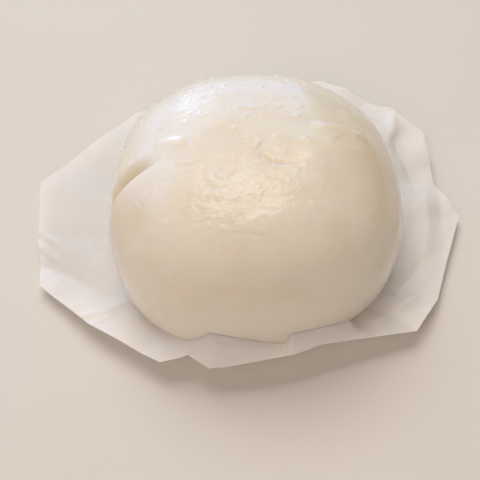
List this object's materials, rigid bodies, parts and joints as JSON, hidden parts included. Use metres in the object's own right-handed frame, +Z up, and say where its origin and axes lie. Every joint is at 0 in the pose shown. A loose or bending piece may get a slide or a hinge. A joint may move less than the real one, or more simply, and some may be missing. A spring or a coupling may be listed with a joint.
{
  "type": "manju",
  "caption": "Large steamed manju bun with a deep lapped fold and a softly gathered top, on a crumpled sheet of thin white paper that clings to its front.",
  "frame": {"origin": "middle of the bun's footprint, on the surface that the paper sheet lies on", "axes": "+Z up; -Y towards the front, where the paper clings highest to the bun; +X to the right seen from the front, with the deep fold on the -X side"},
  "size_m": [0.1486, 0.1231, 0.0552],
  "materials": {
    "dough": "steamed wheat dough skin, cream white, smooth and slightly glossy with damp, translucent just under the surface",
    "paper": "thin translucent white baking paper, faintly waxy, softly creased"
  },
  "bodies": {
    "root": {"bun": "dough", "paper_sheet": "paper"}
  },
  "joints": []
}
